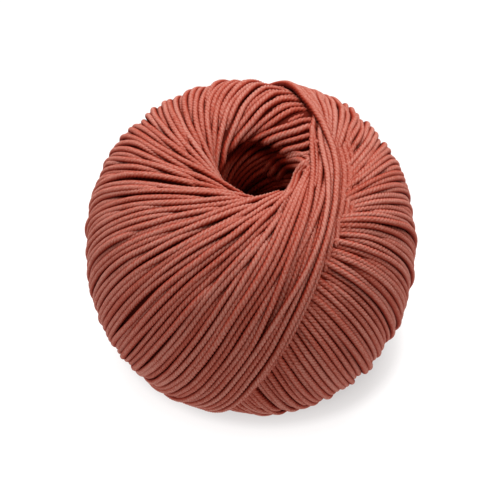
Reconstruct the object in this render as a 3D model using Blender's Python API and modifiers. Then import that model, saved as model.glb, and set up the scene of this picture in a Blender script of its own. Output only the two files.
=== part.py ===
"""Ball of yarn: a machine-wound, centre-pull ball resting on its lower shoulder.

Metres, +Z up.  The winding axis is +Z, the origin lies under the middle of the ball
on the surface that it rests on, and the side that faces the viewer is -Y.

The ball is one solid: a turned form with a hole along its axis, whose skin carries
the winding.  Every turn of yarn crosses the equator twice, once leaning one way and
once the other.  The turns work their way round the axis, and the newest lie on top, so
one stretch of the skin shows turns that rise to the right and the other shows turns
that rise to the left.  The two meet in a step at the last turn.  The skin raises the
turns in bundles of three or four strands.
"""

from collections import namedtuple
import math

import bmesh
import bpy
from mathutils import Vector
from mathutils.geometry import interpolate_bezier

MM = 0.001

# The turned form
BALL_RADIUS = 43.1 * MM        # at the equator, over the last turn
HALF_HEIGHT = 34.9 * MM        # crest of a shoulder, above or below the equator
CREST_RADIUS = 18.7 * MM       # from the axis to the crest of the shoulder
THROAT_RADIUS = 6.4 * MM       # the hole, where its wall is upright
THROAT_START = 17.8 * MM       # the wall is upright nearer to the equator than this
FUNNEL_CREST_PULL = 8.5 * MM   # how far the funnel keeps the crest's level
FUNNEL_WALL_PULL = 11.9 * MM   # how far the funnel keeps the wall's direction
ROUND_PULL = 0.5523            # a Bezier quarter that follows an ellipse
MOUTH_OFFSET = 1.2 * MM        # the upper mouth lies this far to the right of the axis
FLAT_CUT = 0.9 * MM            # how much of the lower shoulder is pressed away
FLAT_WIDTH = 6.5 * MM          # width of the pressed, level ring

# The winding
COLUMNS = 96                   # columns of points round the axis
RIM_ADVANCE = 26               # columns that a turn advances from the equator to the rim
FUNNEL_ROWS = 3                # rows of faces from a rim to the upright wall
WALL_ROWS = 2                  # rows of faces down the upright wall
LEAN_AT_EQUATOR = math.radians(25.5)   # a turn's lean from the meridian
LARGEST_LEAN = math.radians(50.0)      # its lean near the hole
LAYER = 1.2 * MM               # a turn sinks this far in half a round of newer turns
FURROW_DEPTH = 0.42            # of a furrow, for each unit of a column's width
FURROW_SHIFT = 0.6             # columns by which a furrow lies nearer the newer bundle
LAST_TURN = math.radians(-82.5)        # azimuth where the last turn crosses the equator
RIM_EVENNESS = 0.6             # share of that sinking which is evened out at the rims
PROFILE_STEPS = 3000           # fine points on each Bezier quarter of the profile

YARN_COLOUR = (0.392, 0.118, 0.082, 1.0)
YARN_ROUGHNESS = 0.9

COLUMN_ANGLE = 2.0 * math.pi / COLUMNS
HALF_ROUND = COLUMNS // 2      # columns in half a round

# A row of the section: its (radius, height), the columns by which a turn has advanced
# since the equator (negative in the lower half), and the share of the relief it carries.
Row = namedtuple("Row", "point advance relief")


def clear_scene():
    for old in list(bpy.data.objects):
        bpy.data.objects.remove(old, do_unlink=True)


def upper_profile():
    """Fine points (radius, height) from the equator over the shoulder to the wall."""
    equator = Vector((BALL_RADIUS, 0.0))
    crest = Vector((CREST_RADIUS, HALF_HEIGHT))
    wall = Vector((THROAT_RADIUS, THROAT_START))
    outer = interpolate_bezier(
        equator,
        equator + Vector((0.0, ROUND_PULL * HALF_HEIGHT)),
        crest + Vector((ROUND_PULL * (BALL_RADIUS - CREST_RADIUS), 0.0)),
        crest,
        PROFILE_STEPS,
    )
    funnel = interpolate_bezier(
        crest,
        crest - Vector((FUNNEL_CREST_PULL, 0.0)),
        wall + Vector((0.0, FUNNEL_WALL_PULL)),
        wall,
        PROFILE_STEPS,
    )
    return [point.to_2d() for point in outer + funnel[1:]]


def turn_lean(radius):
    """Lean of a turn from the meridian: a geodesic's, held back near the hole."""
    sine = math.sin(LEAN_AT_EQUATOR) * BALL_RADIUS / radius
    return min(math.asin(min(sine, 1.0)), LARGEST_LEAN)


def winding_rows(fine):
    """Rows between which a turn advances by exactly one column, and what is left."""
    rows = [Row(fine[0], 0, 1.0)]
    swept = 0.0
    for index, (here, there) in enumerate(zip(fine, fine[1:])):
        radius = 0.5 * (here.x + there.x)
        swept += math.tan(turn_lean(radius)) / radius * (there - here).length
        if swept >= COLUMN_ANGLE:
            swept -= COLUMN_ANGLE
            rows.append(Row(there, len(rows), 1.0))
        if len(rows) > RIM_ADVANCE:
            return rows, fine[index + 1:]
    raise ValueError("the turns reach the wall before they reach the rim")


def funnel_rows(fine):
    """Rows below the rim, where the bundles run straight down and fade out."""
    rows = []
    for step in range(1, FUNNEL_ROWS + 1):
        share = step / FUNNEL_ROWS
        point = fine[round(share * (len(fine) - 1))]
        rows.append(Row(point, RIM_ADVANCE, 1.0 - share))
    return rows


def closed_section():
    """Rows of the whole section, down its outer side and up the wall of the hole."""
    skin, rest = winding_rows(upper_profile())
    upper = skin + funnel_rows(rest)
    lower = [Row(Vector((row.point.x, -row.point.y)), -row.advance, row.relief)
             for row in upper[1:]]
    wall = [Row(Vector((THROAT_RADIUS, THROAT_START * (2.0 * step / WALL_ROWS - 1.0))), 0, 0.0)
            for step in range(1, WALL_ROWS)]
    return upper[::-1] + lower + wall


def outward_normals(section):
    """Unit normals of the section, pointing out of the material."""
    normals = []
    for index in range(len(section)):
        ahead = section[(index + 1) % len(section)].point
        along = (ahead - section[index - 1].point).normalized()
        normals.append(Vector((-along.y, along.x)))
    return normals


def age_of_turns(column, advance):
    """Ages, in columns of precession, of the two turns that cross one point.

    The first rises to the right, the second to the left.  The newer one shows.
    """
    behind = round(LAST_TURN / COLUMN_ANGLE) - column
    right_leaning = (behind + advance) % COLUMNS
    left_leaning = (behind + HALF_ROUND - advance) % COLUMNS
    return right_leaning, left_leaning


def leans_right(column, advance):
    """Whether a face follows the right-leaning turns.

    The furrow just ahead of the last turn follows that turn, and so counts as newest.
    """
    right_age, left_age = age_of_turns(column, advance)
    return (right_age + 1) % COLUMNS <= (left_age + 1) % COLUMNS


def in_furrow(column, row):
    return (column + row.advance) % 2 == 1


def raised_height(column, row):
    """Height of the wound skin over the turned form at one point."""
    age = min(age_of_turns(column, row.advance))
    sinking = LAYER * (1.0 - RIM_EVENNESS * (row.advance / RIM_ADVANCE) ** 2)
    width = row.point.x * COLUMN_ANGLE * math.cos(turn_lean(row.point.x))
    furrow = FURROW_DEPTH * width if in_furrow(column, row) else 0.0
    return -row.relief * (furrow + sinking * age / HALF_ROUND)


def furrow_shift(column, row):
    """Columns by which a furrow is moved, so that newer bundles overhang older ones."""
    if not in_furrow(column, row):
        return 0.0
    beside_last_turn = COLUMNS - 1 in age_of_turns(column, row.advance)
    return row.relief * (-FURROW_SHIFT if beside_last_turn else FURROW_SHIFT)


def turned_mesh(section):
    """The plain turned form, made by a Screw modifier."""
    mesh = bpy.data.meshes.new("section")
    count = len(section)
    edges = [(index, (index + 1) % count) for index in range(count)]
    mesh.from_pydata([(row.point.x, 0.0, row.point.y) for row in section], edges, [])
    outline = bpy.data.objects.new("section", mesh)
    bpy.context.scene.collection.objects.link(outline)
    screw = outline.modifiers.new("turn", "SCREW")
    screw.axis = "Z"
    screw.steps = COLUMNS
    screw.render_steps = COLUMNS
    screw.use_merge_vertices = True
    screw.merge_threshold = 0.00001
    evaluated = outline.evaluated_get(bpy.context.evaluated_depsgraph_get())
    turned = bpy.data.meshes.new_from_object(evaluated)
    bpy.data.objects.remove(outline, do_unlink=True)
    return turned


def lattice_places(bm, section):
    """Column and row number of each point of the turned form."""
    places = {}
    for vert in bm.verts:
        column = round(math.atan2(vert.co.y, vert.co.x) / COLUMN_ANGLE) % COLUMNS
        here = Vector((math.hypot(vert.co.x, vert.co.y), vert.co.z))
        nearest = min(range(len(section)),
                      key=lambda k: (section[k].point - here).length_squared)
        places[vert] = (column, nearest)
    return places


def split_along_turns(bm, places, section):
    """Cut each face of the skin in two along the turns that show on it."""
    for face in list(bm.faces):
        columns = [places[vert][0] for vert in face.verts]
        advances = [section[places[vert][1]].advance for vert in face.verts]
        lowest = min(advances)
        if max(advances) != lowest + 1:
            continue
        left = COLUMNS - 1 if set(columns) == {0, COLUMNS - 1} else min(columns)
        sign = -1 if leans_right(left + 0.5, lowest + 0.5) else 1
        turns = [(column + sign * advance) % COLUMNS
                 for column, advance in zip(columns, advances)]
        start = 0 if turns[0] == turns[2] else 1
        bmesh.utils.face_split(face, face.verts[start], face.verts[start + 2])
    bmesh.ops.triangulate(bm, faces=[face for face in bm.faces if len(face.verts) > 3])


def raise_turns(places, section):
    """Place each point of the skin over or under the turned form."""
    normals = outward_normals(section)
    for vert, (column, index) in places.items():
        row = section[index]
        place = row.point + raised_height(column, row) * normals[index]
        azimuth = (column + furrow_shift(column, row)) * COLUMN_ANGLE
        vert.co = (place.x * math.cos(azimuth), place.x * math.sin(azimuth), place.y)


def shift_upper_mouth(bm):
    """Carry the upper mouth to the right, and less and less towards the equator."""
    for vert in bm.verts:
        rise = max(vert.co.z, 0.0) / HALF_HEIGHT
        inward = 1.0 - min(math.hypot(vert.co.x, vert.co.y) / BALL_RADIUS, 1.0) ** 2
        vert.co.x += MOUTH_OFFSET * inward * math.sin(0.5 * math.pi * min(rise, 1.0))


def press_flat(places, section):
    """The ring of the lower shoulder that lies on the surface, level and flat."""
    floor = FLAT_CUT - HALF_HEIGHT
    for vert, (_, index) in places.items():
        point = section[index].point
        in_ring = point.y < 0.0 and abs(point.x - CREST_RADIUS) < 0.5 * FLAT_WIDTH
        if in_ring or vert.co.z < floor:
            vert.co.z = floor


def stand_on_origin(bm):
    """Put the middle of the ball's box over the origin and its flat ring on z = 0."""
    lows = [min(vert.co[axis] for vert in bm.verts) for axis in range(3)]
    highs = [max(vert.co[axis] for vert in bm.verts) for axis in range(3)]
    middle_x = 0.5 * (lows[0] + highs[0])
    middle_y = 0.5 * (lows[1] + highs[1])
    bmesh.ops.translate(bm, verts=bm.verts, vec=(-middle_x, -middle_y, -lows[2]))


def yarn_material():
    material = bpy.data.materials.new("yarn")
    material.use_nodes = True
    shader = material.node_tree.nodes["Principled BSDF"]
    shader.inputs["Base Color"].default_value = YARN_COLOUR
    shader.inputs["Roughness"].default_value = YARN_ROUGHNESS
    shader.inputs["Metallic"].default_value = 0.0
    return material


def build_yarn_ball(collection):
    section = closed_section()
    mesh = turned_mesh(section)
    mesh.name = "yarn_ball"
    bm = bmesh.new()
    bm.from_mesh(mesh)
    places = lattice_places(bm, section)
    split_along_turns(bm, places, section)
    raise_turns(places, section)
    press_flat(places, section)
    shift_upper_mouth(bm)
    stand_on_origin(bm)
    bmesh.ops.recalc_face_normals(bm, faces=bm.faces)
    bm.to_mesh(mesh)
    bm.free()
    mesh.shade_smooth()
    mesh.materials.clear()
    mesh.materials.append(yarn_material())
    ball = bpy.data.objects.new("yarn_ball", mesh)
    collection.objects.link(ball)
    return ball


def main():
    clear_scene()
    collection = bpy.data.collections.new("ball_of_yarn")
    bpy.context.scene.collection.children.link(collection)
    build_yarn_ball(collection)


main()
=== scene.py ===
"""Looks of the ball of yarn: its single strands, laid the way a winder lays them.

Lengths in this script are millimetres until a mesh is made, which is in metres.
m is the distance along the ball's section from the equator, positive upwards, and
a strand's azimuth is in radians.  Strands of the one family rise with growing azimuth
(they show round the upper mouth), strands of the other fall with growing azimuth
(they show round the lower mouth).  Age counts turns, and the newest turn is number 0.
"""

import math

import bpy
import numpy as np
from mathutils import Matrix, Vector


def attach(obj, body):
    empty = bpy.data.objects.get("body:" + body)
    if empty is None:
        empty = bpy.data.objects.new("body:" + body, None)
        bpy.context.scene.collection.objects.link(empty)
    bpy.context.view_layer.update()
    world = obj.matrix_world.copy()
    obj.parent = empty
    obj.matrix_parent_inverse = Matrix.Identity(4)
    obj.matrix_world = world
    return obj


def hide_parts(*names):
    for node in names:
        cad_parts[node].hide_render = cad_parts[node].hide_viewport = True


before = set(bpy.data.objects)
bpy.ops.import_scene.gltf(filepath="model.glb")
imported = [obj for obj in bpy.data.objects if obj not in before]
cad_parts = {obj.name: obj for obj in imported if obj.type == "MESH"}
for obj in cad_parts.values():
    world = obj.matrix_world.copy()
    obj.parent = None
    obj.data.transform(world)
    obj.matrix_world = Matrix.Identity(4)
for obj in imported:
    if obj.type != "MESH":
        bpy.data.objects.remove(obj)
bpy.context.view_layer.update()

MM = 0.001

# The wound form, as in the CAD
BALL_RADIUS = 43.1
HALF_HEIGHT = 34.9
CREST_RADIUS = 18.7
THROAT_RADIUS = 6.4
THROAT_START = 17.8
FUNNEL_CREST_PULL = 8.5
FUNNEL_WALL_PULL = 11.9
ROUND_PULL = 0.5523
MOUTH_OFFSET = 1.2
FLOOR_CUT = 0.9
FLOOR_GAP = 0.02        # between the pressed strands and the floor

# The yarn
YARN_RADIUS = 0.88      # over the plies
PLIES = 4
PLY_PITCH = 4.9         # length in which the plies twist once
VALLEY = 0.79           # radius between two plies, as a share
SIDES = 12
SEGMENT = 0.7           # length of a mesh step along a strand
END_TAPER = 0.55        # radius of a stretch's first and last ring, as a share
DARKEST = 0.12          # shade on the side that faces the ball
TONE_SPREAD = 0.055
THICK_SPREAD = 0.045
CORE_DEPTH = 2.3
PROUD_SHARE = 0.13      # of the strands that stand proud
PROUD_LIFT = 0.34
SHORTEST = 2.5          # a stretch that is shorter isn't made
UV_FILL = 0.94          # height of a cell of the map that is used

# The winding
TURNS = 146
LAYER = 0.15            # a turn sinks this far in half a round of newer turns
MOUTH_LAYER = 0.85      # and this far near a mouth
RISE_AZIMUTH = math.radians(-83.0)
UPPER_SWEEP = math.radians(187.5)
PACKED_WIDTH = 1.55
MOUTH_SPREAD = 0.45
BAND = 5
FAN = 6
FIRM = BAND + FAN
FAN_WIDTH = 1.62
UNDER_BAND = 6
LEVEL = 0.5
MARGIN = 3.2            # how far a strand is made past the seam where it goes under
SEAM_DIP = 1.95
SEAM_REACH = 13.0       # from the seam, in which older strands dip over the upper half
LOWER_SEAM_REACH = 18.0
MARCH_END = 80.0
GOLDEN = 0.6180339887
CROWDED = 1.05          # need over room from which a strand sinks
PRESSED = 1.5           # and from which it sinks at once
SINK_LENGTH = 12.0
QUICK_SINK_LENGTH = 4.0
SHARE_PASSES = 10
SHARE_PULL = 0.35
SEEN = 0.02             # least presence at which a strand is made
RIM = 59.7
RIM_OVAL = 1.6
RIM_TURN = math.radians(25.0)
RIM_STEP = 2.4
THROAT_STRANDS = 25
THROAT_LEAN = math.radians(36.0)

# The last turn over a mouth, as (degrees of azimuth from where it leaves the equator, m)
LAST_TURN = ((0, 0), (5, 7.45), (8.1, 12.3), (11.65, 17.15), (15.1, 21.3), (19.1, 25.3), (23.1, 28.7),
             (28.8, 32.5), (36.5, 36.4), (42.8, 38.8), (49, 40.7), (58, 42.9), (68, 44.3), (78.4, 45.25),
             (87, 45.8), (100.4, 46.08), (112.8, 45.8), (127, 44.7), (136, 43.6), (146.3, 41.5),
             (152.3, 39.2), (156.5, 36.3), (160, 32.8), (163, 28.9), (166.5, 24), (171, 18.5), (177, 11.7),
             (182.5, 5.5), (187.5, 0))

# How far the newest strands lie from that line, towards the mouth, as (s, offset), where s
# is the distance along it from where it comes closest to the mouth
OFFSETS = (
    ((-90, 0.0), (-80, 0.0), (-75, 0.4), (-68, 0.7), (-2, 0.65), (5, 0.5), (10, 0.1), (15, -0.4), (22, -0.9),
     (40, 0.0), (66, 0.0)),
    ((-90, 2.2), (-75, 2.6), (-68, 2.85), (-50, 2.85), (-44, 2.6), (-38, 2.25), (-30, 2.0), (-10, 2.1),
     (-3, 2.1), (1, 1.8), (4, 0.9), (8, -0.8), (14, -2.2), (22, -2.5), (40, -1.6), (66, -1.5)),
    ((-90, 3.7), (-75, 4.0), (-68, 4.15), (-55, 4.05), (-50, 3.8), (-45, 3.4), (-38, 3.0), (-10, 2.9),
     (-2, 2.9), (2, 2.4), (5.5, 0.7), (9, -1.2), (15, -3.2), (24, -3.9), (40, -3.0), (66, -2.9)),
    ((-90, 5.4), (-75, 5.7), (-68, 5.85), (-60, 5.6), (-55, 5.2), (-50, 4.7), (-45, 4.0), (-40, 3.3),
     (-35, 2.85), (-30, 2.6), (-20, 2.7), (-10, 3.3), (-5, 3.6), (0, 3.4), (4, 2.5), (7, 0.9), (10, -1.2),
     (15, -3.8), (24, -5.3), (40, -4.5), (66, -4.4)),
    ((-90, 7.0), (-75, 7.3), (-68, 7.4), (-60, 7.6), (-55, 7.9), (-50, 8.1), (-45, 8.3), (-40, 8.4),
     (-35, 8.3), (-30, 8.0), (-25, 7.75), (-20, 7.5), (-15, 7.4), (-10, 7.2), (-5, 6.9), (-2, 6.55),
     (0, 6.1), (3, 5.1), (6, 3.6), (8, 2.3), (11, 0.2), (14, -2.2), (18, -4.8), (26, -6.7), (40, -6.1),
     (66, -5.8)),
    ((-90, 8.5), (-75, 8.8), (-68, 9.0), (-60, 9.0), (-55, 8.8), (-50, 8.4), (-45, 7.8), (-40, 7.1),
     (-33, 6.0), (-26, 5.2), (-20, 4.5), (-15, 4.0), (-10, 3.4), (-5, 2.9), (0, 2.0), (4, 0.3), (8, -1.8),
     (15, -4.8), (26, -7.6), (40, -7.4), (66, -7.2)),
    ((-90, 9.9), (-75, 10.1), (-68, 10.4), (-60, 10.5), (-50, 10.0), (-42, 9.0), (-36, 7.8), (-30, 6.75),
     (-24, 6.25), (-18, 6.0), (-11, 5.6), (-4, 4.9), (0, 2.9), (3, 0.8), (6, -1.0), (10, -3.2), (16, -6.0),
     (26, -8.9), (40, -8.8), (66, -8.6)),
)
# How far each dips below the others there, as (s, depth)
DIPS = (
    ((-90, 0.0), (-12, 0.0), (8, -0.3), (22, -0.2), (40, 0.0)),
    ((-60, 0.1), (-48, 0.3), (-42, 0.9), (-14, 0.9), (-8, 0.45), (-2, 0.5), (2, 1.1), (8, 1.1), (15, 0.5),
     (24, 0.1)),
    ((-70, 0.3), (-55, 0.5), (-48, 1.35), (0, 1.35), (10, 1.2), (18, 0.5), (26, 0.1)),
    ((-66, 0.15), (-55, 0.0), (-3, 0.0), (2, 0.3), (7, 1.1), (12, 1.0), (20, 0.4), (28, 0.1)),
    ((-70, 0.0), (-4, 0.0), (2, 0.35), (8, 1.0), (13, 1.15), (18, 0.7), (26, 0.2), (34, 0.0)),
    ((-68, 0.1), (-60, 0.6), (-54, 1.3), (-45, 1.3), (-38, 0.9), (-30, 0.5), (-22, 0.35), (-16, 0.7),
     (-11, 1.3), (5, 1.5), (13, 0.6), (22, 0.1)),
    ((-62, 0.1), (-52, 0.5), (-45, 1.3), (-35, 1.3), (-26, 0.7), (-8, 0.6), (-2, 1.3), (4, 1.5), (12, 0.6),
     (22, 0.1)),
)
# A strand in the gap between two of them, as (s, offset)
GAP_STRAND = ((-16, 6.3), (-3.2, 5.3), (-1.2, 4.9), (1.4, 4.35), (3.2, 3.9), (8, 2.5))
# Where the newest turns leave the equator, in turns
SLACK = ((0, 0.0), (1, 0.3), (4, 0.15), (6, 0.0), (14, 0.0))

# Strands that run from under the band into the mouth's near end, as (m, degrees of azimuth)
RIM_STRAND = ((52.7, 15.7), (55.7, 34.7), (57.7, 48.5), (59.9, 58.7), (63.6, 78.2), (68.0, 90.0),
              (72.0, 98.0))
RIM_STRAND_STEP = -13.5
# Those that would bend back at that end
HOOKED = (8, 9)
# The strand along the front of that end, also as (m, degrees)
FRONT_STRAND = ((52.8, 10.6), (54.2, 6.7), (56.2, 3.3), (58.2, -0.1), (60.0, -7.9),
                (57.3, -37.7), (52.0, -59.6), (48.3, -69.5), (45.1, -75.6), (41.6, -80.8))

# Shade painted on the strands inside a mouth, as (distance inside its rim, share left)
MOUTH_LIGHT = ((-2.0, 1.0), (-0.2, 0.80), (1.5, 0.33), (3.0, 0.10), (4.5, 0.15), (7, 0.80), (10, 0.62),
               (16, 0.13), (24, 0.04))

# How far the strands stand proud of the CAD's form, as (distance along the section, height)
FULLNESS = ((0, -0.5), (4, -0.45), (10, -0.2), (16, 0.1), (21, 0.32), (30, 0.32), (42, 0.0), (90, 0.0))

# Leans, as (radius, sine of the lean from the meridian times the radius), both in shares of
# the ball's radius: the major family, and the minor one over the lower and the upper half
LEAN_MAJOR = ((0.0, 0.04), (0.15, 0.055), (0.185, 0.11), (0.22, 0.168), (0.30, 0.208), (0.36, 0.234),
              (0.43, 0.276), (0.50, 0.315), (0.60, 0.382), (0.70, 0.426), (0.84, 0.439),
              (0.92, 0.432), (1.0, 0.42))
LEAN_MINOR_LOW = ((0.0, 0.485), (0.5, 0.485), (0.6, 0.50), (0.75, 0.48), (0.85, 0.455), (1.0, 0.43))
LEAN_MINOR = ((0.0, 0.485), (0.5, 0.485), (0.55, 0.51), (0.6, 0.53), (0.7, 0.54), (0.8, 0.53),
              (0.9, 0.50), (0.95, 0.47), (1.0, 0.43))


# ---- the wound form

def bezier(a, b, c, d, count):
    t = np.linspace(0.0, 1.0, count)[:, None]
    return a * (1 - t) ** 3 + 3 * b * t * (1 - t) ** 2 + 3 * c * t * t * (1 - t) + d * t ** 3


def make_section(count=3000):
    equator = np.array([BALL_RADIUS, 0.0])
    crest = np.array([CREST_RADIUS, HALF_HEIGHT])
    throat = np.array([THROAT_RADIUS, THROAT_START])
    shoulder = bezier(equator, equator + [0, ROUND_PULL * HALF_HEIGHT],
                      crest + [ROUND_PULL * (BALL_RADIUS - CREST_RADIUS), 0], crest, count)
    funnel = bezier(crest, crest - [FUNNEL_CREST_PULL, 0], throat + [0, FUNNEL_WALL_PULL], throat, count)
    wall = np.stack([np.full(count, THROAT_RADIUS), np.linspace(THROAT_START, 0.0, count)], 1)
    points = np.concatenate([shoulder, funnel[1:], wall[1:]])
    arc = np.concatenate([[0.0], np.cumsum(np.hypot(*np.diff(points, axis=0).T))])
    return arc, points


ARC, SECTION = make_section()
ARC_END = ARC[-1]
SLOPE = np.gradient(SECTION, ARC, axis=0)


def radius_at(m):
    return np.interp(np.abs(m), ARC, SECTION[:, 0])


def place(m, azimuth, height):
    """Points over the form: at m along the section, round by azimuth, and up by height."""
    level = np.abs(m)
    side = np.where(m < 0, -1.0, 1.0)
    rho = np.interp(level, ARC, SECTION[:, 0])
    z = np.interp(level, ARC, SECTION[:, 1])
    out = np.interp(level, ARC, SLOPE[:, 1])
    up = -np.interp(level, ARC, SLOPE[:, 0])
    cos, sin = np.cos(azimuth), np.sin(azimuth)
    normal = np.stack([out * cos, out * sin, up * side], -1)
    points = np.stack([rho * cos, rho * sin, z * side], -1) + normal * height[..., None]
    rise = np.clip(points[..., 2], 0.0, HALF_HEIGHT) / HALF_HEIGHT
    inward = 1.0 - np.minimum(np.hypot(points[..., 0], points[..., 1]) / BALL_RADIUS, 1.0) ** 2
    points[..., 0] += MOUTH_OFFSET * inward * np.sin(0.5 * math.pi * rise)
    return points, normal


# ---- the last turn over a mouth

def last_turn(sweep, mirrored):
    """The last turn over a mouth, from equator to equator: arrays s, m, azimuth, with s
    zero where it passes closest to the mouth and azimuth counted from where it starts."""
    table = np.array(LAST_TURN, float)
    if mirrored:
        table = (table * (-1.0, 1.0) + (table[-1, 0], 0.0))[::-1]
    azimuth = np.linspace(0.0, table[-1, 0], 1500)
    m = np.interp(azimuth, table[:, 0], table[:, 1])
    pad = 15
    padded = np.concatenate([-m[pad:0:-1], m, -m[-2:-pad - 2:-1]])
    m = np.convolve(padded, np.full(2 * pad + 1, 1.0 / (2 * pad + 1)), "valid")
    azimuth = azimuth * (sweep / table[-1, 0])
    rho = radius_at(m)
    step = np.hypot(np.diff(m), np.diff(azimuth) * 0.5 * (rho[1:] + rho[:-1]))
    run = np.concatenate([[0.0], np.cumsum(step)])
    s = np.arange(0.0, run[-1], 0.4)
    m, azimuth = np.interp(s, run, m), np.interp(s, run, azimuth)
    return s - s[int(np.argmax(m))], m, azimuth


def ramp(x, low, high):
    t = np.clip((x - low) / (high - low), 0.0, 1.0)
    return t * t * (3 - 2 * t)


def smooth(values, passes):
    values = values.copy()
    for _ in range(passes):
        values[1:-1] = 0.25 * values[:-2] + 0.5 * values[1:-1] + 0.25 * values[2:]
    return values


def to_equator(s, m, azimuth, first, last):
    """Let a turn's path start and end on the equator at the azimuths first and last."""
    inside = np.flatnonzero(m >= 0.0)
    s, m, azimuth = (v[inside[0]:inside[-1] + 1] for v in (s, m, azimuth))
    step = s[1] - s[0]
    slope = 0.45 / BALL_RADIUS
    for end in (0, 1):
        reach = m[0]
        if reach > 0.05:
            more = np.linspace(0.0, reach, max(int(reach / 0.4), 1) + 1)[:-1]
            m = np.concatenate([more, m])
            azimuth = np.concatenate([azimuth[0] - (reach - more) * slope * (1 - 2 * end), azimuth])
            s = np.concatenate([s[0] - step * np.arange(len(more), 0, -1), s])
        want = last if end else first
        peak = int(np.argmax(m))
        fade = 1.0 - ramp(m, 0.0, 16.0)
        fade[peak:] = 0.0
        azimuth = azimuth + (want - azimuth[0]) * fade
        s, m, azimuth, step = s[::-1], m[::-1], azimuth[::-1], -step
    return {"s": s, "m": m, "azimuth": azimuth}


def leave(turn):
    """The azimuth, back from the last turn's, at which a turn crosses the equator."""
    slack = np.interp(turn, [k for k, _ in SLACK], [gap for _, gap in SLACK])
    return (turn + slack) * 2 * math.pi / TURNS


def offset_of(turn, s):
    if turn < len(OFFSETS):
        return np.interp(s, *zip(*OFFSETS[turn])) * (1.0 + 0.1 * ramp(s, 26.0, 50.0))
    edge = np.interp(s, *zip(*OFFSETS[BAND - 1]))
    beyond = turn - len(OFFSETS) + 1 + (len(OFFSETS) - BAND) * ramp(-s, 36.0, 64.0)
    before = edge + FAN_WIDTH * beyond * np.tanh((-1.0 - s) / 22.0)
    past_first = turn - len(OFFSETS) + 1
    start = 7.25 + 0.43 * past_first
    crossing = 4.5 - 1.6 * past_first
    after = np.interp(s, (-7.0, 0.5 * crossing - 3.5, crossing, crossing + 8.0, crossing + 18.0, 45.0, 66.0),
                      (start, 0.6 * start, 0.3, -2.6 - 0.2 * turn, -1.2 * turn, -1.6 * turn, -1.6 * turn))
    return np.where(s < -7.0, before, after)


def aside(m, azimuth, distance):
    """A path moved sideways over the form by distance, towards the mouth."""
    rho = radius_at(m)
    along, around = np.gradient(m), np.gradient(azimuth) * rho
    length = np.hypot(along, around)
    return m + distance * around / length, azimuth - distance * along / length / rho


def make_band(sweep, mirrored):
    """The newest turns: each lies beside the one after it, crosses beneath it past the
    mouth, and goes down on its other side."""
    s, m, azimuth = last_turn(sweep, mirrored)
    before = np.zeros_like(s)
    turns = []
    for turn in range(FIRM):
        offset = smooth(offset_of(turn, s), 12)
        parts = 3
        for _ in range(parts):
            m, azimuth = (smooth(v, 3) for v in aside(m, azimuth, (offset - before) / parts))
        before = offset
        turns.append(to_equator(s, m, azimuth, -leave(turn), sweep - leave(turn)))
        turns[-1]["offset"] = np.interp(turns[-1]["s"], s, offset)
    return turns


# ---- the other turns

def extra_lean(rho, azimuth, nearest):
    """Where they come out from under the last turns, the strands run almost straight
    towards the mouth."""
    side = (azimuth - nearest + math.pi) % (2 * math.pi) - math.pi
    near = ramp(BALL_RADIUS * 0.60 - rho, 0.0, BALL_RADIUS * 0.16) * ramp(rho, 7.0, 9.5)
    after_band = 40.0 * np.exp(-((side - math.radians(18)) / math.radians(24)) ** 2)
    return np.radians(-near * after_band)


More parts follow.
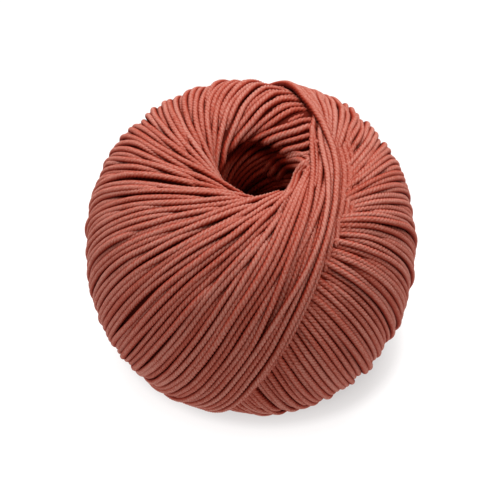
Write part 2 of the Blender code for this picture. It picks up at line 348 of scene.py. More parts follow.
def march(start, table, sign, walls, closes, seed, end, nearest, steepest=76.0):
    """Carry one family from the equator towards a mouth, level by level.

    Each strand runs at the lean of the table; where they crowd, one sinks under its
    neighbours and these share its room.  walls holds the azimuths of the band at each
    level, for as long as it is there.  Returns levels, azimuths and presence."""
    draw = np.random.default_rng(seed)
    table = np.array(table)
    levels = np.arange(0.0, end, LEVEL)
    azimuth = np.zeros((len(levels), TURNS))
    share = np.ones((len(levels), TURNS))
    now = start.copy()
    weight = np.ones(TURNS)
    sinking = np.zeros(TURNS, bool)
    haste = np.full(TURNS, SINK_LENGTH)
    rank = (np.arange(TURNS) * GOLDEN + draw.random()) % 1.0
    rank = rank + draw.normal(0.0, 0.10, TURNS)
    azimuth[0] = now
    walls, closes = np.array(walls), np.array(closes)
    fixed_until = np.concatenate([closes + 1.0, np.zeros(TURNS - FIRM)])
    for row in range(1, len(levels)):
        m = levels[row]
        rho = float(radius_at(m))
        reach = np.interp(rho / BALL_RADIUS, table[:, 0], table[:, 1]) * BALL_RADIUS
        lean = np.full(TURNS, math.asin(min(reach / rho, 1.0)))
        spread = 1.0 + MOUTH_SPREAD * float(ramp(BALL_RADIUS * 0.8 - rho, 0.0, BALL_RADIUS * 0.4))
        if nearest is not None:
            lean = lean + extra_lean(rho, now, nearest)
        lean = np.clip(lean, -0.1, math.radians(steepest))
        turn = sign * np.tan(lean) / rho * LEVEL
        change = turn.copy()
        held = m < closes
        if sign < 0:
            held &= walls[:, row] < walls[0, row] + 1e-6
        firm = np.flatnonzero(held)
        change[firm] = walls[firm, row] - now[firm]
        if m < closes[-1] - 1.0:
            beside = np.exp(-np.arange(TURNS - FIRM) / 6.0) * (1.0 - ramp(m, closes[-1] - 7.0, closes[-1]))
            limit = abs(turn[FIRM]) * 2.0
            wall_turn = max(-limit, min(limit, change[FIRM - 1]))
            change[FIRM:] = (1 - beside) * turn[FIRM:] + beside * wall_turn
        now = now + change
        if sign > 0:
            gap = 0.35 * PACKED_WIDTH / (rho * np.cos(lean))
            for k in range(int(firm[0]) - 1 if len(firm) else -1, -1, -1):
                now[k] = max(now[k], now[k + 1] + gap[k])
        else:
            now[1:FIRM] = np.minimum(now[1:FIRM], now[0] - 0.004 * np.arange(1, FIRM))
            weight[:FIRM] = np.where(held, 1.0, np.maximum(weight[:FIRM] - LEVEL / 3.0, 0.02))
        weight = np.where(sinking, np.maximum(weight - LEVEL / haste, 0.0), weight)
        width = PACKED_WIDTH * spread / (rho * np.cos(lean))
        # crowding, over a window of neighbours; the ring closes over itself
        alive = np.flatnonzero(weight > 0.0)
        ring = np.concatenate([alive[-6:], alive, alive[:6]])
        angle = np.concatenate([now[alive[-6:]] + 2 * math.pi, now[alive], now[alive[:6]] - 2 * math.pi])
        total = np.cumsum(weight[ring] * width[ring])
        for spot in range(6, len(ring) - 6):
            room = angle[spot - 4] - angle[spot + 4]
            need = total[spot + 4] - total[spot - 4]
            if need > CROWDED * room:
                near = ring[spot - 2:spot + 3]
                pressed = need > PRESSED * room
                if sinking[near].any() and weight[near][sinking[near]].max() > (0.7 if pressed else 0.35):
                    continue
                free = near[(m > fixed_until[near]) & ~sinking[near]]
                if len(free):
                    goes = free[np.argmin(rank[free] - 0.6 * (free < 60) * pressed)]
                    sinking[goes] = True
                    haste[goes] = QUICK_SINK_LENGTH if pressed else SINK_LENGTH
        # neighbours share the room
        for _ in range(SHARE_PASSES):
            at = now[alive]
            big = weight[alive]
            left = np.roll(at, 1)
            left[0] += 2 * math.pi
            right = np.roll(at, -1)
            right[-1] -= 2 * math.pi
            to_left = 0.5 * (big + np.roll(big, 1)) + 1e-3
            to_right = 0.5 * (big + np.roll(big, -1)) + 1e-3
            target = (left * to_right + right * to_left) / (to_left + to_right)
            pull = np.where(np.isin(alive, firm), 0.0, SHARE_PULL)
            now[alive] = at + pull * (target - at)
        azimuth[row] = now
        share[row] = weight
    return levels, azimuth, share


def wind_half(rise, sweep, seed, end, lean_minor, mirrored):
    """Both families over one mouth: the major one, which runs into it, and the minor one,
    which comes out from under the last turn."""
    band = make_band(sweep, mirrored)
    levels = np.arange(0.0, end, LEVEL)
    turns = np.arange(TURNS)
    up_walls, down_walls, closes = [], [], []
    for turn in band:
        m, azimuth = turn["m"], turn["azimuth"]
        top = int(np.argmax(m))
        closes.append(float(m[top]) - 0.6)
        rising = np.maximum.accumulate(m[:top + 1])
        up_walls.append(np.interp(levels, rising, rise + azimuth[:top + 1]))
        falling = np.maximum.accumulate(m[:top - 1:-1])
        down_walls.append(np.interp(levels, falling, rise + azimuth[:top - 1:-1]))
    nearest = rise + 0.5 * sweep
    start = rise - leave(turns)
    major = march(start, LEAN_MAJOR, 1.0, up_walls, closes, seed, end, nearest)
    start = rise + sweep - leave(turns)
    minor = march(start, lean_minor, -1.0, down_walls, closes, seed + 1, end, None)
    return {"rise": rise, "band": band, "closes": closes, "major": major, "minor": minor}


# ---- seams between the families

def seam_distance(half, m, azimuth):
    """How far a point lies inside the region where the minor family shows: positive inside,
    negative outside, and beside which limb of the last turn (False rising, True falling)."""
    path_m = half["band"][0]["m"]
    path_azimuth = half["band"][0]["azimuth"] + half["rise"]
    span = ARC_END
    ring = np.linspace(path_azimuth[-1], path_azimuth[0], 90)[1:-1]
    poly_m = np.concatenate([path_m, np.zeros(len(ring)) - 0.5])
    poly_a = np.concatenate([path_azimuth, ring])
    px, py = (span - poly_m) * np.cos(poly_a), (span - poly_m) * np.sin(poly_a)
    x, y = (span - m) * np.cos(azimuth), (span - m) * np.sin(azimuth)
    inside = np.zeros(x.shape, bool)
    qx, qy = np.roll(px, 1), np.roll(py, 1)
    for ax, ay, bx, by in zip(px, py, qx, qy):
        if ay == by:
            continue
        hit = (ay > y) != (by > y)
        inside ^= hit & (x < (bx - ax) * (y - ay) / (by - ay) + ax)
    seam, _ = place(path_m, path_azimuth, np.zeros(len(path_m)))
    here, _ = place(m, azimuth, np.zeros(m.shape))
    best = np.full(m.shape, 1e9)
    which = np.zeros(m.shape, int)
    for first in range(0, len(seam), 40):
        part = seam[first:first + 40]
        gap = np.linalg.norm(here[:, None, :] - part[None], axis=2)
        near = gap.argmin(1)
        value = gap[np.arange(len(gap)), near]
        closer = value < best
        best[closer] = value[closer]
        which[closer] = near[closer] + first
    falling = which > int(np.argmax(path_m))
    return np.where(inside, best, -best), falling


def wander(length, scale, size, draw):
    """A smooth random run of numbers along a strand, seeded by draw."""
    knots = max(int(length / scale) + 3, 4)
    values = draw.normal(0.0, size, knots)
    spots = np.linspace(0.0, length, knots)
    fine = np.linspace(0.0, length, 400)
    rough = np.interp(fine, spots, values)
    return fine, smooth(rough, int(800 * 400 / (knots * knots) / 4) + 2)


def along_strand(points_m, azimuth):
    """Distance along a strand that is given by m and azimuth."""
    points, _ = place(points_m, azimuth, np.zeros(len(points_m)))
    return np.concatenate([[0.0], np.cumsum(np.linalg.norm(np.diff(points, axis=0), axis=1))])


def even_steps(m, azimuth, *others):
    """The distances of even steps along a strand, and its values there."""
    run = along_strand(m, azimuth)
    fine = np.arange(0.0, run[-1], SEGMENT)
    return fine, *(np.interp(fine, run, values) for values in (m, azimuth, *others))


def cut_visible(keep, run):
    """Index ranges of the stretches in keep that are long enough to be made."""
    edges = np.flatnonzero(np.diff(np.concatenate([[0], keep.astype(int), [0]])))
    return [(a, b) for a, b in zip(edges[::2], edges[1::2]) if run[b - 1] - run[a] > SHORTEST]


def drop_of(age, m):
    """How far a strand lies under the CAD's form, from how many turns ago it was laid."""
    layer = LAYER + (MOUTH_LAYER - LAYER) * ramp(np.abs(m), 32.0, 46.0)
    return layer * age / (0.5 * TURNS) - np.interp(np.abs(m), *zip(*FULLNESS))


def visible_side(upper, lower, m, azimuth, family):
    """For points of one family: how far they lie inside the region where it shows, and
    whether they dip there, to pass under the last turn."""
    distance = np.zeros(len(m))
    falling = np.zeros(len(m), bool)
    above = m >= 0.0
    for half, part, side in ((upper, above, 1.0), (lower, ~above, -1.0)):
        if part.any():
            distance[part], falling[part] = seam_distance(half, side * m[part], azimuth[part])
    minor = above == (family == 1)
    return np.where(minor, distance, -distance), minor != falling


def dip_at_seam(height, m, shown, dips):
    """Where older strands pass under the last turn they dip, and past any seam a strand
    goes down out of sight."""
    reach = np.where(m < 0.0, LOWER_SEAM_REACH, SEAM_REACH)
    dip = np.where(dips, SEAM_DIP * (1.0 - ramp(shown, -1.0, reach)), 0.0)
    room = np.maximum(0.0, -YARN_RADIUS - height)
    return height - np.maximum(dip - room, 0.0) - 1.5 * ramp(-shown, 0.3, 2.6)


def inside_mouth(m, azimuth):
    """How far inside a mouth's rim a point lies, along the section."""
    return np.abs(m) - RIM - RIM_OVAL * np.cos(2.0 * (azimuth - RIM_TURN))


def step_back(inside):
    """How far the wall of a mouth stands back at a distance inside its rim."""
    return RIM_STEP * ramp(inside, -0.5, 2.2) * (1.0 - 0.75 * ramp(inside, 8.0, 20.0))


def sink(height, m, azimuth, presence):
    """A strand that loses its room goes down between its neighbours, and inside the rim
    of a mouth the strands stand back."""
    height = height - 0.5 * (1.0 - ramp(presence, 0.55, 1.0)) - 1.6 * (1.0 - ramp(presence, 0.15, 0.65))
    inside = inside_mouth(m, azimuth)
    return height - step_back(inside) - 1.8 * ramp(inside, 1.5, 6.0)


def unrest(m, azimuth, height, fine, draw, lift_size=0.36, sway_size=0.24):
    """The small ups, downs and turns aside of a real strand."""
    spots, lift = wander(fine[-1], 17.0, lift_size, draw)
    height = height + np.interp(fine, spots, lift)
    spots, sway = wander(fine[-1], 24.0, sway_size, draw)
    return azimuth + np.interp(fine, spots, sway) / np.maximum(radius_at(m), 8.0), height


def stretches(m, azimuth, height, keep, run, mouth_shade=True):
    """The kept stretches of a strand as (points, normals, light), where light is the shade that is painted on
    it in a mouth, when the last argument asks for that, and under other strands."""
    points, normals = place(m, azimuth, height)
    light = np.interp(inside_mouth(m, azimuth), *zip(*MOUTH_LIGHT)) if mouth_shade else np.ones(len(m))
    light *= 1.0 - 0.15 * ramp(-YARN_RADIUS - LAYER - height, 0.3, 1.8)
    return [(points[a:b], normals[a:b], light[a:b]) for a, b in cut_visible(keep, run)]


def lay_whole(m, azimuth, height, fine, draw, *sizes, side=1.0, mouth_shade=True):
    """A strand that shows from end to end."""
    azimuth, height = unrest(m, azimuth, height, fine, draw, *sizes)
    return stretches(side * m, azimuth, height, np.ones(len(m), bool), fine, mouth_shade)


def lay_strands(upper, lower):
    """Every visible stretch of yarn."""
    out = []
    for family in (0, 1):
        top, under = (upper["major"], lower["minor"]) if family == 0 else (upper["minor"], lower["major"])
        for turn in range(FIRM, TURNS):
            draw = np.random.default_rng(1000 * (family + 1) + turn)
            m = np.concatenate([-under[0][:0:-1], top[0]])
            azimuth = np.concatenate([under[1][:0:-1, turn], top[1][:, turn]])
            if family == 0:
                azimuth[:len(under[0]) - 1] -= 2 * math.pi
            presence = np.concatenate([under[2][:0:-1, turn], top[2][:, turn]])
            fine, m, azimuth, presence = even_steps(m, azimuth, presence)
            shown, dips = visible_side(upper, lower, m, azimuth, family)
            height = dip_at_seam(-YARN_RADIUS - drop_of(turn, m), m, shown, dips)
            height = sink(height, m, azimuth, presence)
            proud = draw.random() < PROUD_SHARE
            height = height + (PROUD_LIFT if proud else draw.normal(-0.05, 0.16))
            azimuth, height = unrest(m, azimuth, height, fine, draw, sway_size=0.75 if proud else 0.26)
            out += stretches(m, azimuth, height, (shown > -MARGIN) & (presence > SEEN), fine)
    for number in range(UNDER_BAND):
        left, right = 1.0 + 1.5 * number, -0.8 - 1.6 * number
        out += lay_under(number, upper, ((-74, left - 1.44), (-14, left + 2.16)), 1.5)
        out += lay_under(UNDER_BAND + number, upper, ((-26, right), (18, right)), 1.5)
    out += lay_under(2 * UNDER_BAND, upper, GAP_STRAND, 1.0)
    for turn in range(FIRM):
        out += lay_firm(turn, upper, lower)
        for half, side in ((upper, 1.0), (lower, -1.0)):
            if turn not in HOOKED or side < 0.0:
                out += lay_inner(turn, half, side)
    for number in range(THROAT_STRANDS):
        for side in (1.0, -1.0):
            out += lay_throat(number, side)
    for number in (1, 2, 3):
        out += lay_rim(number)
    for number in (0, 1):
        out += lay_front(number)
    return out


def dip_of(turn, s, offset, edge):
    """How far a new strand lies below the surface of the newest ones."""
    if turn < len(DIPS):
        return smooth(np.interp(s, *zip(*DIPS[turn])), 4)
    return 1.5 * (1.0 - ramp(offset - edge, 0.0, 2.2)) * (1.0 - ramp(-offset, 0.5, 6.0))


def lay_firm(turn, upper, lower):
    """One of the newest turns, all the way round over both mouths, from and to the
    underside.  Those past the band show only before and after they pass under it."""
    draw = np.random.default_rng(5000 + turn)
    top, low = upper["band"][turn], lower["band"][turn]
    azimuth = top["azimuth"] + upper["rise"]
    low_azimuth = low["azimuth"] + lower["rise"]
    middle = int(np.argmax(low["m"]))
    parts = ((low, low_azimuth - 2 * math.pi, slice(middle, -1), -1.0), (top, azimuth, slice(None), 1.0),
             (low, low_azimuth, slice(1, middle + 3), -1.0))
    m = np.concatenate([side * path["m"][cut] for path, _, cut, side in parts])
    azimuth = np.concatenate([angle[cut] for _, angle, cut, _ in parts])
    above = np.concatenate([np.full(len(path["m"][cut]), side > 0.0) for path, _, cut, side in parts])
    s = np.concatenate([path["s"][cut] for path, _, cut, _ in parts])
    offset = np.concatenate([path["offset"][cut] for path, _, cut, _ in parts])
    run = along_strand(m, azimuth)
    fine = np.arange(0.0, run[-1], SEGMENT)
    m, azimuth = (np.interp(fine, run, v) for v in (m, azimuth))
    nearest = np.minimum(np.searchsorted(run, fine), len(run) - 1)
    s, offset, above = s[nearest], offset[nearest], above[nearest]
    edge = np.interp(s, *zip(*OFFSETS[BAND - 1]))
    height = -YARN_RADIUS - drop_of(turn, m) - dip_of(turn, s, offset, edge)
    if turn < BAND:
        return lay_whole(m, azimuth, height, fine, draw, 0.08, 0.12)
    out = []
    for family in (0, 1):
        shown, dips = visible_side(upper, lower, m, azimuth, family)
        rising = above == (family == 0)
        level = dip_at_seam(height, m, shown, dips & ~rising)
        keep = np.where(rising, s < -1.0, s > -6.0) & (shown > -MARGIN)
        turned, level = unrest(m, azimuth, level, fine, draw)
        out += stretches(m, turned, level, keep, fine)
    return out


def lay_under(number, half, offsets, depth):
    """A strand of the layer below, which shows through the gaps of the loose last turns."""
    draw = np.random.default_rng(9000 + number)
    path = half["band"][0]
    s, m, azimuth = path["s"], path["m"], path["azimuth"] + half["rise"]
    part = (s > offsets[0][0]) & (s < offsets[-1][0])
    m, azimuth = aside(m[part], azimuth[part], np.interp(s[part], *zip(*offsets)))
    fine, m, azimuth = even_steps(m, azimuth)
    return lay_whole(m, azimuth, np.full(len(m), -YARN_RADIUS - depth), fine, draw)


def lay_inner(turn, half, side):
    """A strand that comes from under the last turns and runs down into the mouth."""
    draw = np.random.default_rng(8000 + turn + int(side))
    levels, azimuth, presence = half["major"]
    first = int(half["closes"][turn] / LEVEL) + 1
    m, azimuth, presence = levels[first:], azimuth[first:, turn].copy(), presence[first:, turn]
    free = int(6.0 / LEVEL)
    slope = (azimuth[free + 6] - azimuth[free]) / 6.0
    azimuth[:free] = azimuth[free] - slope * np.arange(free, 0, -1)
    before = np.arange(8, 0, -1)
    azimuth = np.concatenate([azimuth[0] - slope * before, azimuth])
    m, presence = np.concatenate([m[0] - LEVEL * before, m]), np.concatenate([np.ones(len(before)), presence])
    run = along_strand(m, azimuth)
    if run[np.flatnonzero(presence > SEEN)[-1]] < 22.0:
        return []
    fine = np.arange(0.0, run[-1], SEGMENT)
    m, azimuth, presence = (np.interp(fine, run, v) for v in (m, azimuth, presence))
    drop = 1.7 * (1.0 - ramp(float(turn), 0.35 * FIRM, FIRM))
    height = -YARN_RADIUS - drop - 1.4 * (1.0 - ramp(fine, 2.0, 9.0))
    height = sink(height, side * m, azimuth, presence)
    azimuth, height = unrest(m, azimuth, height, fine, draw)
    return stretches(side * m, azimuth, height, presence > SEEN, fine)


def lay_throat(number, side):
    """An old strand on the wall of the hole."""
    draw = np.random.default_rng(7000 + 2 * number + int(side))
    m = np.arange(55.0, ARC_END - 1.0, 0.5)
    turn = np.concatenate([[0.0], np.cumsum(0.5 * math.tan(THROAT_LEAN) / radius_at(m[1:]))])
    azimuth = 2 * math.pi * (number + draw.uniform(-0.25, 0.25)) / THROAT_STRANDS + turn
    fine, m, azimuth = even_steps(m, azimuth)
    height = -YARN_RADIUS - 0.7 - step_back(np.maximum(m - RIM + 3.0, 3.0))
    height = height - 0.8 * (1.0 - ramp(m, 55.0, 60.0))
    return lay_whole(m, azimuth, height, fine, draw, side=side)


def lay_rim(number):
    """A strand that shows only at the end of the upper mouth that lies beside the band."""
    draw = np.random.default_rng(6000 + number)
    m = np.arange(RIM_STRAND[0][0], RIM_STRAND[-1][0], 0.5)
    azimuth = smooth(np.radians(np.interp(m, *zip(*RIM_STRAND)) + RIM_STRAND_STEP * number), 4)
    fine, m, azimuth = even_steps(m, azimuth)
    height = np.full(len(m), -YARN_RADIUS - 1.05) - 0.8 * ramp(m, 57.0, 63.0)
    return lay_whole(m, azimuth, height, fine, draw, 0.12, 0.12)


def lay_front(number):
    """A strand that runs from under the band along the front of the upper mouth's end."""
    draw = np.random.default_rng(6100 + number)
    table = np.array(FRONT_STRAND, float)
    knots = np.linspace(0.0, len(table) - 1.0, 160)
    m, azimuth = (smooth(np.interp(knots, np.arange(len(table)), column), 60) for column in table.T)
    m, azimuth = m - 1.3 * number, np.radians(azimuth - 2.0 * number)
    fine, m, azimuth = even_steps(m, azimuth)
    height = -YARN_RADIUS - 0.3 - 0.5 * number - 0.8 * (1.0 - ramp(fine, 0.0, 4.0))
    height = height - 1.6 * ramp(fine, fine[-1] - 14.0, fine[-1])
    return lay_whole(m, azimuth, height, fine, draw, 0.12, 0.12, mouth_shade=False)


# ---- meshes

def settle(points):
    """Move from the form's frame to the row's, and press what is under the floor flat."""
    points = points.copy()
    points[:, 2] += HALF_HEIGHT - FLOOR_CUT
    points[:, 2] = np.maximum(points[:, 2], FLOOR_GAP)
    return points


def add_object(name, data):
    ob = bpy.data.objects.new(name, data)
    bpy.context.collection.objects.link(ob)
    return ob


def tube(points, normals, light, phase, tone, thick):
    """A plied strand: a closed tube whose mesh lines follow its plies, with the shade painted on each point
    and whether it lies between two plies."""
    count = len(points)
    tangent = np.gradient(points, axis=0)
    tangent /= np.linalg.norm(tangent, axis=1)[:, None]
    across = np.cross(tangent, normals)
    across /= np.linalg.norm(across, axis=1)[:, None]
    upright = np.cross(across, tangent)
    run = np.concatenate([[0.0], np.cumsum(np.linalg.norm(np.diff(points, axis=0), axis=1))])
    spokes = np.arange(SIDES)
    between = spokes % (SIDES // PLIES) == 0
    size = np.where(between, VALLEY, 1.0) * YARN_RADIUS
    turn = phase - 2 * math.pi * run[:, None] / PLY_PITCH + spokes[None] * (2 * math.pi / SIDES)
    taper = thick[:, None].copy()
    taper[0] *= END_TAPER
    taper[-1] *= END_TAPER
    size = size[None] * taper
    rings = (points[:, None] + (np.cos(turn) * size)[..., None] * upright[:, None]
             + (np.sin(turn) * size)[..., None] * across[:, None])
    # painted shade: each ring darkens towards the side that faces the ball, times the painted shade of light,
    # and a random tone of the strand's own
    shade = (DARKEST + 0.88 * ramp(np.cos(turn), 0.05, 1.0)) * light[:, None] * tone
    ply = np.broadcast_to(np.where(between, 0.0, 1.0), shade.shape)
    verts = np.concatenate([rings.reshape(-1, 3), points[:1], points[-1:]])
    shade = np.concatenate([shade.ravel(), [DARKEST * light[0], DARKEST * light[-1]]])
    ply = np.concatenate([ply.ravel(), [1.0, 1.0]])
    base = (np.arange(count - 1) * SIDES)[:, None]
    one = spokes[None]
    two = (one + 1) % SIDES
    quads = np.stack([base + one, base + two, base + SIDES + two, base + SIDES + one], -1).reshape(-1, 4)
    hub, tail = count * SIDES, (count - 1) * SIDES
    caps = np.concatenate([np.stack([np.full(SIDES, hub), two[0], one[0]], -1),
                           np.stack([np.full(SIDES, hub + 1), tail + one[0], tail + two[0]], -1)])
    return verts, shade, ply, quads, caps


def strip_uv(first, count, per_row, rows):
    """The map of one strand from its first cell on: a cell for each cap and for each
    length of tube between them, laid in rows."""
    cell = first + np.arange(count + 1)
    column, row = cell % per_row, cell // per_row
    low = (row[1:-1, None] + UV_FILL * np.arange(SIDES)[None] / SIDES) / rows
    high = low + UV_FILL / SIDES / rows
    near = np.broadcast_to((column[1:-1, None]) / per_row, low.shape)
    far = near + 1.0 / per_row
    quads = np.stack([np.stack([near, low], -1), np.stack([near, high], -1),
                      np.stack([far, high], -1), np.stack([far, low], -1)], 2)
    angle = np.arange(SIDES + 1) * (2 * math.pi / SIDES)
    size = np.where(np.arange(SIDES + 1) % (SIDES // PLIES) == 0, VALLEY, 1.0) * 0.4
    ring = np.stack([size * np.cos(angle) / per_row, size * np.sin(angle) * 0.9 / rows], -1)
    caps = []
    for at in (0, -1):
        middle = np.array([(column[at] + 0.5) / per_row, (row[at] + 0.47) / rows])
        hub = np.broadcast_to(middle, (SIDES, 2))
        caps.append(np.stack([hub, middle + ring[:-1], middle + ring[1:]], 1))
    return quads.reshape(-1, 2), np.concatenate(caps).reshape(-1, 2)


def strand_piece(name, strands, first_phase, draw):
    """One mesh for a share of the strands, with its map."""
    cells = sum(len(points) + 1 for points, _, _ in strands)
    per_row = int(math.sqrt(cells * 2 * math.pi * YARN_RADIUS / SEGMENT)) + 1
    rows = cells // per_row + 1
    parts = [[] for _ in range(7)]
    shift = cell = 0
    for index, (points, normals, light) in enumerate(strands):
        tone = 1.0 + draw.normal(0.0, TONE_SPREAD)
        spots, uneven = wander(len(points) * SEGMENT, 18.0, 0.07, draw)
        thick = np.interp(np.arange(len(points)) * SEGMENT, spots, uneven) + draw.normal(1.0, THICK_SPREAD)
        verts, shade, ply, quads, caps = tube(points, normals, light, first_phase + 2.4 * index, tone, thick)
        quad_uv, cap_uv = strip_uv(cell, len(points), per_row, rows)
        values = (settle(verts), shade, ply, quads + shift, caps + shift, quad_uv, cap_uv)
        for part, value in zip(parts, values):
            part.append(value)
        shift += len(verts)
        cell += len(points) + 1
    verts, shade, ply, quads, caps, quad_uv, cap_uv = (np.concatenate(part) for part in parts)
    mesh = bpy.data.meshes.new(name)
    mesh.vertices.add(len(verts))
    mesh.vertices.foreach_set("co", (verts * MM).ravel())
    loops = np.concatenate([quads.ravel(), caps.ravel()])
    mesh.loops.add(len(loops))
    mesh.loops.foreach_set("vertex_index", loops.astype(np.int32))
    starts = np.concatenate([np.arange(len(quads)) * 4, len(quads) * 4 + np.arange(len(caps)) * 3])
    mesh.polygons.add(len(starts))
    mesh.polygons.foreach_set("loop_start", starts.astype(np.int32))
    mesh.polygons.foreach_set("use_smooth", np.ones(len(starts), bool))
    mesh.update(calc_edges=True)
    layer = mesh.uv_layers.new(name="OFBake")
    layer.data.foreach_set("uv", np.concatenate([quad_uv, cap_uv]).ravel().astype(np.float32))
    for key, values in (("shade", shade), ("ply", ply)):
        mesh.attributes.new(key, "FLOAT", "POINT").data.foreach_set("value", values.astype(np.float32))
    return add_object(name, mesh)


def smooth_grid(grid, passes):
    """Smooth over the neighbours on all four sides; both directions close on themselves."""
    for _ in range(passes):
        for axis in (0, 1):
            grid = 0.25 * np.roll(grid, 1, axis) + 0.5 * grid + 0.25 * np.roll(grid, -1, axis)
    return grid


def core_piece(upper, lower):
    """The older layers that show in the gaps: a closed form just under the strands, whose dark colour is
    painted shade.
    """
    cols = 200
    level = np.linspace(0.0, ARC_END, 90)
    m = np.concatenate([level, -level[::-1][1:-1]])
    azimuth = np.arange(cols) * (2 * math.pi / cols)
    mm, aa = (grid.ravel() for grid in np.meshgrid(m, azimuth, indexing="ij"))
    drop = np.full(len(mm), LAYER * 2.0)
    for half, part in ((upper, mm >= 0.0), (lower, mm < 0.0)):
        for levels, azimuths, _ in (half["major"], half["minor"]):
            newest = np.interp(np.abs(mm[part]), levels, azimuths[:, 0])
            age = ((newest - aa[part]) / (2 * math.pi) % 1.0) * TURNS
            drop[part] = np.minimum(drop[part], drop_of(age, mm[part]))
    drop = smooth_grid(drop.reshape(len(m), cols), 6).ravel()
    drop = drop + step_back(inside_mouth(mm, aa) + 1.3)
    points, _ = place(mm, aa, -CORE_DEPTH - drop)
    verts = settle(points)
    rows = len(m)
    index = np.arange(rows * cols).reshape(rows, cols)
    nxt = np.roll(index, -1, axis=0)
    quads = np.stack([index, np.roll(index, -1, 1), np.roll(nxt, -1, 1), nxt], -1).reshape(-1, 4)
    mesh = bpy.data.meshes.new("yarn_core")
    mesh.from_pydata((verts * MM).tolist(), [], quads.tolist())
    mesh.polygons.foreach_set("use_smooth", np.ones(len(mesh.polygons), bool))
    mesh.update()
    return add_object("yarn_core", mesh)


# ---- materials

def new_material(name):
    mat = bpy.data.materials.new(name)
    mat.use_nodes = True
    nodes, links = mat.node_tree.nodes, mat.node_tree.links
    return mat, nodes, links, nodes["Principled BSDF"]


def math_node(nodes, links, kind, a, b):
    node = nodes.new("ShaderNodeMath")
    node.operation = kind
    for socket, value in zip(node.inputs, (a, b)):
        if isinstance(value, (int, float)):
            socket.default_value = value
        else:
            links.new(value, socket)
    return node.outputs[0]


def scaled(nodes, links, value, factor, plus):
    node = math_node(nodes, links, "MULTIPLY_ADD", value, factor).node
    node.inputs[2].default_value = plus
    return node.outputs[0]


def noise_node(nodes, links, vector, scale, detail=2.0):
    node = nodes.new("ShaderNodeTexNoise")
    node.inputs["Scale"].default_value = scale
    node.inputs["Detail"].default_value = detail
    links.new(vector, node.inputs["Vector"])
    return node.outputs["Fac"]


def yarn_material():
    """Matt plied yarn with fine fibres along it; the dark red between plies and strands is painted shade."""
    mat, nodes, links, shader = new_material("yarn")
    ply = nodes.new("ShaderNodeAttribute")
    ply.attribute_name = "ply"
    shade = nodes.new("ShaderNodeAttribute")
    shade.attribute_name = "shade"
    # painted shade between the plies, where the ply attribute is 0
    crease_shade = nodes.new("ShaderNodeMapRange")
    crease_shade.interpolation_type = "SMOOTHSTEP"
    crease_shade.inputs["From Max"].default_value = 0.75
    crease_shade.inputs["To Min"].default_value = 0.80
    links.new(ply.outputs["Fac"], crease_shade.inputs["Value"])
    uv = nodes.new("ShaderNodeUVMap")
    uv.uv_map = "OFBake"
    stretch = nodes.new("ShaderNodeMapping")
    stretch.inputs["Scale"].default_value = (0.10, 1.0, 1.0)
    links.new(uv.outputs["UV"], stretch.inputs["Vector"])
    fibre = noise_node(nodes, links, stretch.outputs["Vector"], 620.0, 3.0)
    place_in = nodes.new("ShaderNodeTexCoord")
    patch = noise_node(nodes, links, place_in.outputs["Object"], 120.0)
    fuzz = noise_node(nodes, links, place_in.outputs["Object"], 2400.0)
    # painted shade, times the fibre streaks, patches and specks of the yarn's own tone
    value = math_node(nodes, links, "MULTIPLY", shade.outputs["Fac"], crease_shade.outputs["Result"])
    streak = scaled(nodes, links, fibre, 0.46, 0.65)
    blotch = scaled(nodes, links, patch, 0.20, 0.90)
    value = math_node(nodes, links, "MULTIPLY", value, math_node(nodes, links, "MULTIPLY", streak, blotch))
    speckle = scaled(nodes, links, fuzz, 1.1, 0.46)
    value = math_node(nodes, links, "MULTIPLY", value, speckle)
    # the ramp runs from near black, for the painted dark in a mouth, through the dark red of painted shade
    # under strands and between plies, to the yarn's own colour at 1.0
    colour = nodes.new("ShaderNodeValToRGB")
    stops = ((0.0, (0.015, 0.001, 0.0005)), (0.10, (0.13, 0.006, 0.0015)), (0.30, (0.235, 0.018, 0.007)),
             (0.62, (0.35, 0.066, 0.040)), (1.0, (0.485, 0.205, 0.162)))
    colour.color_ramp.elements[0].position = stops[0][0]
    colour.color_ramp.elements[1].position = stops[-1][0]
    for position, _ in stops[1:-1]:
        colour.color_ramp.elements.new(position)
    for element, (_, rgb) in zip(colour.color_ramp.elements, stops):
        element.color = (*rgb, 1.0)
    links.new(value, colour.inputs["Fac"])
    links.new(colour.outputs["Color"], shader.inputs["Base Color"])
    bump = nodes.new("ShaderNodeBump")
    bump.inputs["Strength"].default_value = 0.5
    bump.inputs["Distance"].default_value = 0.00013
    links.new(math_node(nodes, links, "ADD", fibre, fuzz), bump.inputs["Height"])
    links.new(bump.outputs["Normal"], shader.inputs["Normal"])
    rough = scaled(nodes, links, fibre, 0.16, 0.68)
    links.new(rough, shader.inputs["Roughness"])
    shader.inputs["Specular IOR Level"].default_value = 0.08
    shader.inputs["Sheen Weight"].default_value = 0.04
    shader.inputs["Sheen Roughness"].default_value = 0.4
    shader.inputs["Sheen Tint"].default_value = (1.0, 0.5, 0.4, 1.0)
    return mat


def core_material():
    mat, nodes, links, shader = new_material("yarn_under")
    place_in = nodes.new("ShaderNodeTexCoord")
    lumps = noise_node(nodes, links, place_in.outputs["Object"], 700.0, 3.0)
    # painted shade: the older layers get the dark red of the shade between strands, not the yarn's own colour
    colour = nodes.new("ShaderNodeValToRGB")
    colour.color_ramp.elements[0].color = (0.045, 0.003, 0.0015, 1.0)
    colour.color_ramp.elements[1].color = (0.17, 0.020, 0.011, 1.0)
    links.new(lumps, colour.inputs["Fac"])
    links.new(colour.outputs["Color"], shader.inputs["Base Color"])
    bump = nodes.new("ShaderNodeBump")
    bump.inputs["Distance"].default_value = 0.0006
    links.new(lumps, bump.inputs["Height"])
    links.new(bump.outputs["Normal"], shader.inputs["Normal"])
    shader.inputs["Roughness"].default_value = 0.95
    shader.inputs["Specular IOR Level"].default_value = 0.05
    return mat


# ---- build

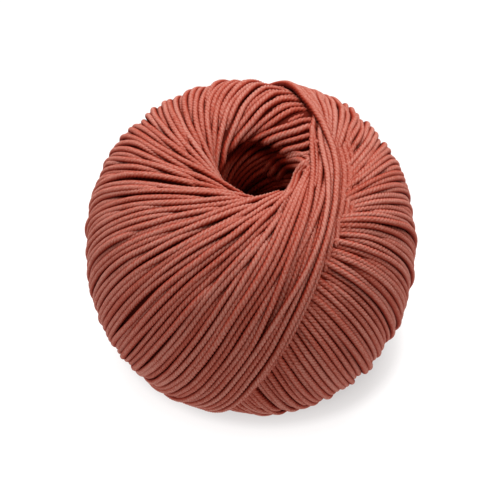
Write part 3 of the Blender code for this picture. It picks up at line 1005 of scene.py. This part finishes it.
upper = wind_half(RISE_AZIMUTH, UPPER_SWEEP, 11, MARCH_END, LEAN_MINOR, False)
lower = wind_half(RISE_AZIMUTH + UPPER_SWEEP, 2 * math.pi - UPPER_SWEEP, 23, MARCH_END,
                  LEAN_MINOR_LOW, True)
strands = lay_strands(upper, lower)
PIECES = 10
yarn = yarn_material()
for number in range(PIECES):
    piece = strand_piece(f"yarn_turns_{number}", strands[number::PIECES], 0.7 * number,
                         np.random.default_rng(90 + number))
    piece.data.materials.append(yarn)
    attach(piece, "root")
    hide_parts("yarn_ball")
core = core_piece(upper, lower)
core.data.materials.append(core_material())
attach(core, "root")
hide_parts("yarn_ball")

# floor, light, camera
floor_mesh = bpy.data.meshes.new("floor")
floor_mesh.from_pydata([(-3, -3, 0), (3, -3, 0), (3, 3, 0), (-3, 3, 0)], [], [(0, 1, 2, 3)])
floor = add_object("floor", floor_mesh)
floor_mat, nodes, links, floor_shader = new_material("floor")
floor_shader.inputs["Base Color"].default_value = (0.2, 0.2, 0.2, 1)
floor_shader.inputs["Roughness"].default_value = 0.9
floor_shader.inputs["Emission Color"].default_value = (1, 1, 1, 1)
# painted light and shadow: the floor glows though it is no lamp, and glows less under the ball, which paints
# a soft shadow there and keeps it small
floor_place = nodes.new("ShaderNodeTexCoord")
narrow = nodes.new("ShaderNodeMapping")
narrow.inputs["Scale"].default_value = (0.85, 1.0, 1.0)
links.new(floor_place.outputs["Object"], narrow.inputs["Vector"])
from_ball = nodes.new("ShaderNodeVectorMath")
from_ball.operation = "DISTANCE"
from_ball.inputs[1].default_value = (0.0034, 0.0, 0.0)
links.new(narrow.outputs["Vector"], from_ball.inputs[0])
reach = math_node(nodes, links, "MULTIPLY", from_ball.outputs["Value"], 10.0)
glow = nodes.new("ShaderNodeValToRGB")
for position, level in ((0.26, 0.56), (0.30, 0.70), (0.33, 0.90), (0.37, 0.97), (0.50, 0.90)):
    element = glow.color_ramp.elements.new(position)
    element.color = (level, level, level, 1.0)
glow.color_ramp.elements[0].color = (0.5, 0.5, 0.5, 1.0)
glow.color_ramp.elements[-1].color = (0.76, 0.76, 0.76, 1.0)
links.new(reach, glow.inputs["Fac"])
links.new(glow.outputs["Color"], floor_shader.inputs["Emission Strength"])
floor_mesh.materials.append(floor_mat)

bpy.context.scene.view_settings.view_transform = "Standard"
world = bpy.data.worlds.new("studio")
bpy.context.scene.world = world
world.use_nodes = True
background = world.node_tree.nodes["Background"]
background.inputs["Color"].default_value = (1, 0.82, 0.74, 1)
background.inputs["Strength"].default_value = 0.36


def area_light(name, place_at, target, size, power):
    data = bpy.data.lights.new(name, "AREA")
    data.shape = "DISK"
    data.size = size
    data.energy = power
    ob = add_object(name, data)
    ob.location = place_at
    ob.rotation_euler = (Vector(target) - Vector(place_at)).to_track_quat("-Z", "Y").to_euler()


area_light("top", (-0.02, 0.28, 0.88), (0, 0, 0.03), 0.9, 12.0)
for side in (-1.0, 1.0):
    area_light("side", (0.9 * side, 0.1, 0.35), (0, 0, 0.03), 0.6, 1.6)

ELEVATION = math.radians(48.0)
ROLL = math.radians(2.75)
DISTANCE = 1.1
PX_PER_MM = 3.88
CENTRE_PX = (250.5, 247.0)
IMAGE_PX = 500.0
SENSOR = 36.0
camera_data = bpy.data.cameras.new("camera")
camera = add_object("camera", camera_data)
bpy.context.scene.camera = camera
camera_data.sensor_width = SENSOR
camera_data.lens = SENSOR * DISTANCE * 1000.0 * PX_PER_MM / IMAGE_PX
camera_data.clip_end = 10.0
aim = Vector((0.0, 0.0, (HALF_HEIGHT - FLOOR_CUT) * MM))
back = Vector((0.0, -math.cos(ELEVATION), math.sin(ELEVATION)))
right = Vector((1.0, 0.0, 0.0))
up = back.cross(right)
turned_right = right * math.cos(ROLL) + up * math.sin(ROLL)
turned_up = up * math.cos(ROLL) - right * math.sin(ROLL)
offset_mm = ((0.5 * IMAGE_PX - CENTRE_PX[0]) / PX_PER_MM, (CENTRE_PX[1] - 0.5 * IMAGE_PX) / PX_PER_MM)
aim = aim + (turned_right * offset_mm[0] + turned_up * offset_mm[1]) * MM
rotation = Matrix((turned_right, turned_up, back)).transposed()
camera.matrix_world = Matrix.Translation(aim + back * DISTANCE) @ rotation.to_4x4()
